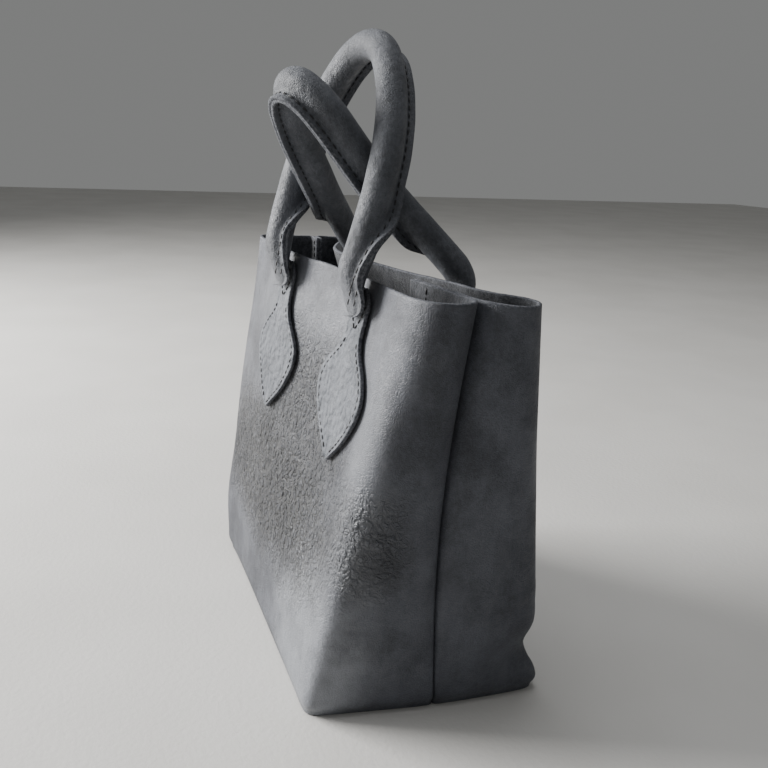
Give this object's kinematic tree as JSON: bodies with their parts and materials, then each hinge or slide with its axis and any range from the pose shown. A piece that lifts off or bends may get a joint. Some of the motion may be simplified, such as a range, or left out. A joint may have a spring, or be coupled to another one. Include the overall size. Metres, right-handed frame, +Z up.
{
  "type": "mini tote bag",
  "caption": "Mini tote bag in thick leather, open at the top, with two rolled carry handles on tabs and side gussets folded inwards.",
  "frame": {"origin": "middle of the base footprint, on the base's underside", "axes": "+Z up through the open mouth, +X towards the deeply folded near end, -Y towards the front panel"},
  "size_m": [0.2427, 0.1313, 0.3347],
  "materials": {
    "front_panel_leather": "matte",
    "back_panel_leather": "matte",
    "base_leather": "matte",
    "handle_leather": "matte",
    "tab_leather": "matte"
  },
  "bodies": {
    "root": {"front_panel": "front_panel_leather", "back_panel": "back_panel_leather", "base_panel": "base_leather", "front_handle": "handle_leather", "back_handle": "handle_leather", "front_tab_near": "tab_leather", "front_tab_far": "tab_leather", "back_tab_near": "tab_leather", "back_tab_far": "tab_leather"}
  },
  "joints": []
}
